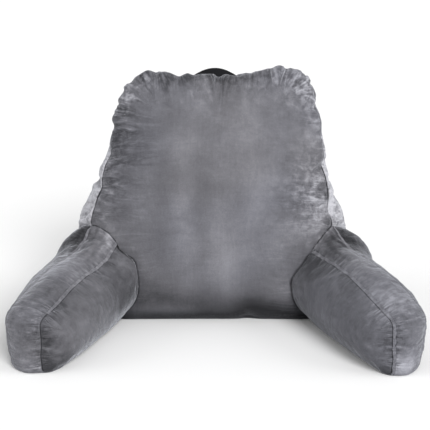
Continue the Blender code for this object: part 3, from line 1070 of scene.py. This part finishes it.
def work_cloth(piece, rows_at, ring, seed, crumple_at, bias, strip=0.0, strip_run=0.0):
    """Fine pleats, the band's creases and the groove at each seam, in a refined cushion. Each point keeps
    where it is along and away from its seam, how gathered and crushed the cloth is, how dark its painted line
    of shade by the seam is, and how much painted light and shade lighten or darken it."""
    mesh = piece.data
    boxes = boxes_of(piece)
    runs = runs_of(piece)
    guides = [SeamGuide(seam_line(piece, rows_at, side)) for side in (-1.0, 1.0)]
    near_ring = kd_of(ring)
    normals = [v.normal.copy() for v in mesh.vertices]
    weight = []
    painted_shading = []
    gather = []
    edge = []
    for n, vert in enumerate(mesh.vertices):
        u, v, w = boxes[n]
        outer = w >= 0.0
        away, run, row, calm = guides[outer].find(vert.co)
        gap = near_ring.find(vert.co)[2]
        on_band = abs(w) < PANEL
        along = runs[n] if on_band and runs[n] > 0.0 else run + level_shift(piece, u, away)
        move = 0.0
        fine = 0.18 * math.exp(-gap / 0.05)
        if v > -SIDE:
            own_seed = seed + (BAND_SEED if on_band else 0.0)
            fade = calm * over(away, PLEATS_END, -PLEATS_FADE) * pleat_fade(along, away, row, own_seed)
            fine = max(fine, min(MOST_GATHER, fade * row["height"] / FULL_GATHER))
            move += fade * pleats(along, away, row, own_seed)
            if on_band:
                move += crumple_at(vert.co, runs[n], w)
            else:
                move += PANEL_WAVE * uneven(vert.co.x / 0.05, vert.co.z / 0.22, seed + 2.0)
        # lean is painted light and shade over a whole region.
        crush, lean, fined = bias(vert.co, boxes[n], away)
        if not on_band and v > -SIDE:
            puff = abs(noise.noise(vert.co / CRUSH_PITCH + Vector((0.0, seed, 0.0)))) * 2.4 - 0.6
            move += CRUSH_HEIGHT * crush * puff * clamped(away / 0.006)
        # Painted shading: crests painted lighter and hollows darker, with the painted light and shade of
        # places and regions.
        painted_shading.append(max(-MOST_PAINTED_SHADING, min(MOST_PAINTED_SHADING, move / PAINTED_SHADING_STEP)) + painted_light_and_shade(vert.co) + lean)
        gather.extend((along, away, max(fine, fined * calm)))
        # Where the painted dark lines fall: painted shadow round the arm's root, painted shade along the
        # seam, off to the side where a strip covers it.
        covered = strip if outer or run < strip_run else 0.0
        groove = SEAM_GROOVE * (ARM_GROOVE_SHARE if strip else 1.0) * bell(away, GROOVE_WIDTH)
        edge.extend((gap * root_width(piece, vert.co, boxes[n]), away - covered, crush))
        # How dark the painted line of shade along the seam is, unevenly.
        steady = 0.9 + 0.9 * noise.noise(vert.co / 0.018)
        steady *= 0.55 if strip and covered == 0.0 else 1.0
        weight.append(clamped(steady) * (0.4 if strip and on_band else 1.0))
        vert.co += normals[n] * (move - groove)
        vert.co.z = 0.0 if v < -SIDE else max(0.0, vert.co.z)
    for name, values in (("seam", weight), ("painted_shading", painted_shading), ("gather", gather), ("edge", edge)):
        keep(mesh, name, values)
    mesh.update()


def root_width(piece, place, box):
    """Widens the painted dark line of shadow round an arm's root where the cloth curls over it; less is a
    wider line.
    """
    if piece.name != "backrest_cushion":
        return 0.5 - 0.2 * bell(box[1] - 0.1, 0.4) if box[2] < -PANEL else 1.0
    return 1.0 - 0.55 * over(place.z, 0.15, -0.02) * clamped(20.0 * abs(place.x)) * (box[2] < -PANEL)


def level_shift(piece, u, away):
    """Turns the backrest's side gathers level, although its side seams lean inwards."""
    if piece.name != "backrest_cushion":
        return 0.0
    return 0.2 * away * (-1.0 if u < 0 else 1.0)


def backrest_bias(place, box, away):
    """How crushed the cloth is at a place, how much painted light and shade lighten or darken it over a whole
    region, and the least gathers it has.
    """
    x, z = place.x - STAND.x, place.z
    low = over(z, 0.36, -0.06)
    if abs(box[2]) < PANEL:
        # Painted shade darkens the top band; painted light, a painted sheen, lightens the side band low down.
        if box[1] > PANEL:
            return 0.4, -0.3, 0.6
        share = over(box[2], 0.15, -0.5) * low * over(z, 0.10, 0.06)
        return 0.55 + 0.5 * share, 0.3 + share * (3.5 if x > 0 else 4.0), 0.75 + 0.4 * share
    near = math.exp(-away / 0.05)
    high = bell(0.47 - z, 0.035) if z < 0.47 else 1.0
    corner = math.exp(-(((abs(x) - 0.19) ** 2 + (z - 0.44) ** 2) / 0.05**2))
    right = math.exp(-(((x - 0.20) / 0.06) ** 2 + ((z - 0.24) / 0.07) ** 2))
    crushed = min(1.1, 0.05 + 0.25 * near + 0.4 * high + 0.8 * corner + 0.7 * right)
    return crushed, 0.0, max(0.8 * corner, 0.6 * high, 0.6 * right)


def arm_bias(place, box, away):
    """The same for an arm: calm inside and more crushed outside, with painted shade over its panels that is
    darkest near the floor.
    """
    # The band is painted a little lighter, painted light; the panels below are painted darker, painted shade,
    # the inner one most near the floor.
    if abs(box[2]) < PANEL:
        return 0.32, 0.2, 0.24
    low = 1.7 * bell(place.z, 0.035)
    u, v, w = box
    upper = clamped(((1.0 - u) * 0.18 - (1.0 - v) * 0.055) / 0.02)
    return (0.24, -0.55 - low, 0.10 * upper) if w < 0 else (0.6, -0.7, 0.5 * upper)


def painted_light_and_shade(place):
    """How much lighter or darker the colour is painted at a place: painted light and shade."""
    total = 0.0
    for spot in PAINTED_LIGHT_AND_SHADE_PLACES:
        away = ((place.x - spot.x) ** 2 + (place.y - spot.y) ** 2) / spot.wide**2
        away += ((place.z - spot.z) / spot.high) ** 2
        if away < 9.0:
            total += spot.amount * math.exp(-away)
    return total


def backrest_crumple(place, run, w):
    """How far the backrest's band stands out or in: slanting creases that are deepest low down."""
    low = over(place.z, 0.33, -0.08)
    depth = 0.08 * w
    slant = uneven((run + 0.35 * depth) / 0.017, depth / 0.06, 4.0)
    small = uneven((run - 0.2 * depth) / 0.008, depth / 0.03, 6.0)
    return blend(0.0006, 0.0022, low) * (abs(slant) * 2.2 - 0.5 + 0.35 * small)


def arm_crumple(place, run, w):
    """The same for an arm's band: long soft folds, and short ones near its root."""
    root = over(run, 0.12, -0.08)
    long_folds = uneven(run / 0.06, w / 0.28, 7.0)
    across = uneven(run / 0.016, w / 1.2, 8.0)
    short = abs(noise.noise(place / 0.016)) * 2.2 - 0.5
    return 0.0005 * across + blend(0.0005, 0.0020, root) * long_folds + 0.0011 * root * short


def smoothed(places, times):
    """A line of places, evened out between its two ends."""
    for _ in range(times):
        middle = [(a + b * 2.0 + c) / 4.0 for a, b, c in zip(places, places[1:], places[2:])]
        places = [places[0], *middle, places[-1]]
    return places


def tube_faces(count, size, order):
    """The faces of a closed tube of rings of corners, each ring gone round in order, and its two ends."""
    faces = [
        (n * size + a, n * size + b, (n + 1) * size + b, (n + 1) * size + a)
        for n in range(count - 1)
        for a, b in zip(order, order[1:] + order[:1])
    ]
    return faces + [tuple(order), tuple((count - 1) * size + a for a in reversed(order))]


def seam_path(cushion, side):
    """The line of an arm's band seam, from its root over the end to the floor, at even steps."""
    line = []
    for vert, (u, v, w), run in zip(cushion.data.vertices, boxes_of(cushion), runs_of(cushion)):
        if abs(w - side) < 0.001 and (v > SIDE or u > SIDE):
            line.append((run, vert.co.copy()))
    line.sort(key=lambda entry: entry[0])
    points = smoothed([point for _, point in line], 3)
    even = [points[0]]
    left = STRIP_STEP
    for a, b in zip(points, points[1:]):
        span = (b - a).length
        while span > left:
            a = a + (b - a) * (left / span)
            even.append(a)
            span = (b - a).length
            left = STRIP_STEP
        left -= span
    return even


def seam_strip(name, cushion, side, reach):
    """A folded strip sewn down over a band seam as far as its reach, with stitches near each edge."""
    tree = tree_of(cushion)
    line = [p for n, p in enumerate(seam_path(cushion, side)) if p.z > 0.002 and n * STRIP_STEP < reach]
    frames = []
    for n, point in enumerate(line):
        ahead = line[min(n + 1, len(line) - 1)] - line[max(n - 1, 0)]
        ahead.normalize()
        normal = tree.find_nearest(point)[1]
        aside = normal.cross(ahead) * 0.004
        normal = sum((tree.find_nearest(point + offset)[1] for offset in (aside, -aside)), normal)
        normal = (normal - ahead * normal.dot(ahead)).normalized()
        frames.append((point, ahead, normal, ahead.cross(normal)))
    points = []
    for n, (point, ahead, normal, aside) in enumerate(frames):
        run = n * STRIP_STEP
        width = read(STRIP_ROWS, run, "width") / 2 * (1.0 + 0.10 * uneven(run / 0.02, side, 1.0))
        width *= clamped(0.35 + 0.65 * (min(reach, len(frames) * STRIP_STEP) - run) / 0.03)
        height = read(STRIP_ROWS, run, "height")
        under = []
        for across, up in STRIP_PROFILE:
            spot, face, _, _ = tree.find_nearest(point + aside * (across * width) + normal * 0.004)
            points.append(spot + (face + normal).normalized() * (height * up + 0.0001))
            under.append(spot - (face + normal).normalized() * STRIP_UNDER)
        points.extend((under[0], under[len(under) // 2], under[-1]))
    rows = len(STRIP_PROFILE)
    ring = rows + 3
    order = [*range(rows), rows + 2, rows + 1, rows]
    strip = joined(name, points, tube_faces(len(frames), ring, order), velour)
    # The strip is painted lighter, a painted highlight.
    keep(strip.data, "painted_shading", [STRIP_PAINTED_LIGHT] * len(points))
    keep(strip.data, "gather", [c for n in range(len(points)) for c in (n // ring * STRIP_STEP, 0.0, 0.25)])
    keep(strip.data, "edge", [0.1, 0.1, 0.5] * len(points))
    stitches = []
    for low in STITCHED_PLACES:
        travelled = 0.003
        while travelled < (len(frames) - 2) * STRIP_STEP:
            n = int(travelled / STRIP_STEP)
            here, there = (points[m * ring + low].lerp(points[m * ring + low + 1], 0.5) for m in (n, n + 1))
            _, ahead, normal, aside = frames[n]
            middle = here.lerp(there, travelled / STRIP_STEP - n)
            stitches.append((middle + normal * 0.0001, ahead, normal, aside))
            travelled += STITCH_PITCH
    return strip, sewn(name + "_stitches", stitches, thread)


def sewn(name, stitches, material):
    """Short raised stitches, each a slim spindle lying in the cloth."""
    points = []
    faces = []
    for middle, ahead, normal, aside in stitches:
        first = len(points)
        points.extend((middle - ahead * STITCH_LENGTH / 2, middle + ahead * STITCH_LENGTH / 2))
        for n in range(STITCH_SIDES):
            turn = math.tau * n / STITCH_SIDES
            ring = aside * math.cos(turn) * STITCH_WIDTH / 2 + normal * math.sin(turn) * STITCH_WIDTH / 2
            points.append(middle - ahead * STITCH_LENGTH * 0.25 + ring)
            points.append(middle + ahead * STITCH_LENGTH * 0.25 + ring)
            a, b = first + 2 + 2 * n, first + 2 + 2 * ((n + 1) % STITCH_SIDES)
            faces.extend(((first, b, a), (a, b, b + 1, a + 1), (first + 1, a + 1, b + 1)))
    return joined(name, points, faces, material)


# ---------------------------------------------------------------- the pillow

velour = velour_material("grey_velour", velour_group())
webbing = webbing_material("black_webbing")
thread = thread_material("grey_thread", (0.17, 0.17, 0.19))
black_thread = thread_material("black_thread", (0.03, 0.03, 0.033))


def root_share(arm, tree, v, w):
    """Where along an arm's grid line it comes out of the backrest."""
    low, high = -1.0, 0.35
    for _ in range(14):
        middle = (low + high) / 2
        if inside(tree, arm_point(arm, middle, v, w)):
            low = middle
        else:
            high = middle
    return high


def root_ring(arm, tree, cells_v, cells_w):
    """Places all along the line where an arm comes out of the backrest."""
    ring = []
    for n in range(cells_v + 1):
        v = 2.0 * n / cells_v - 1.0
        for w in (-1.0, 1.0):
            ring.append(arm_point(arm, root_share(arm, tree, v, w), v, w))
    for n in range(cells_w + 1):
        w = 2.0 * n / cells_w - 1.0
        ring.append(arm_point(arm, root_share(arm, tree, 1.0, w), 1.0, w))
    return ring


def backrest_slack(box, place, far):
    """How gathered the backrest's cloth is at a place: the cloth by a seam is cut longer than the seam."""
    _, v, w = box
    x, z = place.x - STAND.x, place.z
    if abs(w) < PANEL:
        return 0.35 if v > PANEL else blend(0.18, 0.85, over(z, 0.29, -0.05))
    if w > 0:
        return 0.5 * bell(far, 0.035)
    top = over(z, 0.40, 0.04)
    foot = over(z, 0.02, 0.04)
    side = read(LEFT_GATHERS if x < 0 else RIGHT_GATHERS, z, "amount")
    amount = blend(side, read(TOP_GATHERS, x, "amount"), top * over(abs(x), 0.17, -0.04))
    return foot * amount * bell(far, 0.032)


def make_backrest():
    """The backrest: filled, held where an arm covers it or comes out of it, then worked."""
    backrest = boxed_cushion("backrest_cushion", BACKREST_CELLS, BACKREST_EASES, backrest_point, True)
    shells = [
        boxed_cushion("arm_shell_" + name, ARM_SHELL_CELLS, (0.0, 0.0, 0.0), partial(arm_point, arm), False)
        for name, arm in ARMS.items()
    ]
    shell_trees = [tree_of(shell) for shell in shells]
    first_skin = tree_of(backrest)
    ring = [point for arm in ARMS.values() for point in root_ring(arm, first_skin, *RING_CELLS)]
    ring_tree = kd_of(ring)
    seam_tree = kd_of([v.co for v, b in zip(backrest.data.vertices, boxes_of(backrest)) if on_seam(b)])
    held = []
    slack = []
    caps = []
    normals = [v.normal.copy() for v in backrest.data.vertices]
    for vert, box, normal in zip(backrest.data.vertices, boxes_of(backrest), normals):
        near, far = ring_tree.find(vert.co)[2], seam_tree.find(vert.co)[2]
        hidden = near < 0.20 and any(inside(tree, vert.co) for tree in shell_trees)
        on_floor = box[1] <= -SIDE
        held.append(1.0 if on_seam(box) or on_floor or hidden else bell(near, 0.006))
        slack.append(clamped(backrest_slack(box, vert.co, far)))
        low = over(vert.co.z, 0.30, -0.05)
        high = over(vert.co.z, 0.46, -0.05)
        caps.append(blend(0.0035, 0.008, low) if abs(box[2]) < PANEL else blend(0.008, BACKREST_SWELL, high))
        wander = SEAM_WANDER * noise.noise(vert.co / 0.024) * bell(far, 0.01)
        vert.co += normal * (wander - ROOT_GROOVE * bell(near, 0.008))
        vert.co.z = 0.0 if on_floor else max(0.0, vert.co.z)
    for shell in shells:
        bpy.data.objects.remove(shell)
    swell(backrest, held, slack, BACKREST_SLACK, caps)
    refine(backrest)
    work_cloth(backrest, backrest_rows, ring, 11.0, backrest_crumple, backrest_bias)
    return backrest


def make_arm(name, arm, skin):
    """An arm, from where it comes out of the backrest's skin, with the strips over its band seams."""
    roots = {}

    def place(u, v, w):
        key = (round(v, 6), round(w, 6))
        if key not in roots:
            roots[key] = root_share(arm, skin, v, w) + 0.003
        return arm_point(arm, blend(roots[key], 1.0, (u + 1.0) / 2.0), v, w)

    heading = (arm.side * math.sin(arm.splay), -math.cos(arm.splay))
    cushion = boxed_cushion("arm_cushion_" + name, ARM_CELLS, ARM_EASES, place, False, heading)
    held = []
    slack = []
    caps = []
    runs = runs_of(cushion)
    boxes = boxes_of(cushion)
    seams = [n for n, box in enumerate(boxes) if on_seam(box) and runs[n] > 0.0]
    seam_tree = kd_of([cushion.data.vertices[n].co for n in seams])
    for vert, box in zip(cushion.data.vertices, boxes):
        u, v, w = box
        _, index, far = seam_tree.find(vert.co)
        held.append(1.0 if on_seam(box) or v <= -SIDE or u <= -SIDE else 0.0)
        amount = read(ARM_GATHERS, runs[seams[index]], "amount")
        slack.append(clamped(0.10 + 0.75 * amount * bell(far, 0.025)))
        caps.append(ARM_SWELL * (1.0 if w > -PANEL else blend(0.15, 1.0, over(u, -1.0, 0.25))))
    swell(cushion, held, slack, ARM_SLACK, caps)
    refine(cushion)
    root_line = [
        v.co.copy()
        for v, b in zip(cushion.data.vertices, boxes_of(cushion))
        if b[0] < -SIDE and (abs(b[2]) > SIDE or b[1] > SIDE)
    ]
    seed = 21.0 + arm.side
    work_cloth(cushion, arm_rows, root_line, seed, arm_crumple, arm_bias, STRIP_EDGE, arm.strip_run)
    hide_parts("arm_" + name)
    strips = []
    for edge, side, reach in (("inner", -1, arm.strip_run), ("outer", 1, FULL_RUN)):
        strips.extend(seam_strip("seam_strip_%s_%s" % (name, edge), cushion, side, reach))
    return [cushion, *strips]


backrest = make_backrest()
skin = tree_of(backrest)
pieces = [backrest]
for name, arm in ARMS.items():
    pieces.extend(make_arm(name, arm, skin))
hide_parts("backrest")
for piece in pieces:
    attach(piece, "root")

# ---------------------------------------------------------------- carry handle

def strap_section():
    """The strap's section in halves of its width and thickness: ribs along both faces, round edges."""
    across = [n / STRAP_RIBS - 1.0 for n in range(2 * STRAP_RIBS + 1)]
    top = [(0.97 * a, RIB_VALLEY if n % 2 else 1.0 - 0.3 * abs(a) ** 12) for n, a in enumerate(across)]
    bottom = [(a, -b) for a, b in reversed(top)]
    return top + [(1.0, 0.0)] + bottom + [(-1.0, 0.0)]


def strap_frames():
    """The strap's middle line and its directions, lying on the band at both ends and arched between them."""
    middle_y = read(TOP_ROWS, 0.0, "height") * math.tan(FACE_LEAN) + HANDLE_BACK + STAND.y
    reach = HANDLE_HALF_SPAN + HANDLE_TAB
    middles = []
    ups = []
    for n in range(HANDLE_CELLS + 1):
        x = reach * (2.0 * n / HANDLE_CELLS - 1.0)
        free = min(1.0, abs(x) / HANDLE_HALF_SPAN)
        arch = (1.0 - free**2) ** 1.3
        near, crown, far = (
            skin.ray_cast(Vector((x + STAND.x, middle_y + y, 1.0)), DOWN)[0].z
            for y in (-HANDLE_WIDTH / 2, 0.0, HANDLE_WIDTH / 2)
        )
        lean = blend(math.atan2(near - far, HANDLE_WIDTH), -HANDLE_LEAN, arch)
        up = Vector((0, math.sin(lean), math.cos(lean)))
        rest = max((near + far) / 2, crown) + HANDLE_LIFT
        arched = HANDLE_TOP - HANDLE_THICKNESS - HANDLE_RISE * (1.0 - arch)
        middle = Vector((x + STAND.x, middle_y, max(rest, arched) if free < 1.0 else rest))
        middles.append(middle + up * HANDLE_THICKNESS / 2)
        ups.append(up)
    return [(middle, up, Vector((0, up.z, -up.y))) for middle, up in zip(smoothed(middles, 4), ups)]


frames = strap_frames()
section = strap_section()
points = []
spots = []
travelled = 0.0
for n, (middle, up, wide) in enumerate(frames):
    if n:
        travelled += (middle - frames[n - 1][0]).length
    for across, thick in section:
        points.append(middle + wide * across * HANDLE_WIDTH / 2 + up * thick * HANDLE_THICKNESS / 2)
        spots.append((travelled, across * HANDLE_WIDTH / 2))
order = list(range(len(section)))
strap = joined("handle_strap", points, tube_faces(len(frames), len(section), order), webbing)
layer = strap.data.uv_layers.new(name="panel")
for loop in strap.data.loops:
    layer.data[loop.index].uv = spots[loop.vertex_index]
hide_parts("handle")


def strap_place(run, across):
    """A place on top of the strap, run along from its first end, with the directions there."""
    share = run / travelled * (len(frames) - 1)
    n = min(len(frames) - 2, int(share))
    middle = frames[n][0].lerp(frames[n + 1][0], share - n)
    ahead = (frames[n + 1][0] - frames[n][0]).normalized()
    up, wide = frames[n][1], frames[n][2]
    return middle + wide * across + up * (HANDLE_THICKNESS * 0.46), ahead, up, wide


def stitch_row(start, end):
    """Stitches in a straight row on the strap between two places given as run and across."""
    made = []
    length = math.hypot(end[0] - start[0], end[1] - start[1])
    count = max(2, round(length / BOX_PITCH))
    for n in range(count):
        share = (n + 0.5) / count
        place, ahead, up, wide = strap_place(blend(start[0], end[0], share), blend(start[1], end[1], share))
        heading = (ahead * (end[0] - start[0]) + wide * (end[1] - start[1])).normalized()
        made.append((place, heading, up, up.cross(heading)))
    return made


# Each end is sewn down with a box of stitches and a cross inside it
stitches = []
for first in (BOX_INSET, travelled - BOX_INSET - BOX_LENGTH):
    last = first + BOX_LENGTH
    corners = ((first, -BOX_HALF), (last, -BOX_HALF), (last, BOX_HALF), (first, BOX_HALF))
    for a, b in ((0, 1), (1, 2), (2, 3), (3, 0), (0, 2), (1, 3)):
        stitches.extend(stitch_row(corners[a], corners[b]))
for piece in (strap, sewn("handle_box_stitches", stitches, black_thread)):
    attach(piece, "root")

# ---------------------------------------------------------------- floor, light and camera

bpy.ops.mesh.primitive_plane_add(size=12.0, location=(0.0, 0.0, -0.0005))
floor = bpy.context.object
floor.name = "studio_floor"
paint = new_material("studio_floor", Base_Color=(0.93, 0.93, 0.93, 1.0), Roughness=0.9)[0]
floor.data.materials.append(paint)

world = bpy.data.worlds.new("studio")
bpy.context.scene.world = world
world.use_nodes = True
backdrop = world.node_tree.nodes["Background"].inputs
backdrop["Color"].default_value = (1.0, 1.0, 1.0, 1.0)
backdrop["Strength"].default_value = 0.50
bpy.context.scene.view_settings.view_transform = "Standard"


def broad_light(name, direction, energy, spread):
    """A far, broad studio light that falls evenly over the floor and the pillow."""
    lamp = bpy.data.lights.new(name, "SUN")
    lamp.energy = energy
    lamp.angle = math.radians(spread)
    holder = bpy.data.objects.new(name, lamp)
    bpy.context.scene.collection.objects.link(holder)
    holder.rotation_euler = Vector(direction).to_track_quat("-Z", "Y").to_euler()


broad_light("key", (-0.55, 1.25, -0.85), 2.5, 28.0)
broad_light("rim_left", (1.0, 0.15, -0.5), 0.7, 40.0)
broad_light("rim_right", (-1.0, 0.15, -0.5), 0.9, 40.0)

camera = bpy.data.cameras.new("camera")
camera.sensor_width = 36.0
camera.lens = camera.sensor_width * FOCAL_PIXELS / IMAGE_WIDTH
viewer = bpy.data.objects.new("camera", camera)
bpy.context.scene.collection.objects.link(viewer)
viewer.location = CAMERA_PLACE
aim = Vector(CAMERA_AIM) - viewer.location
viewer.rotation_euler = aim.to_track_quat("-Z", "Y").to_euler()
bpy.context.scene.camera = viewer
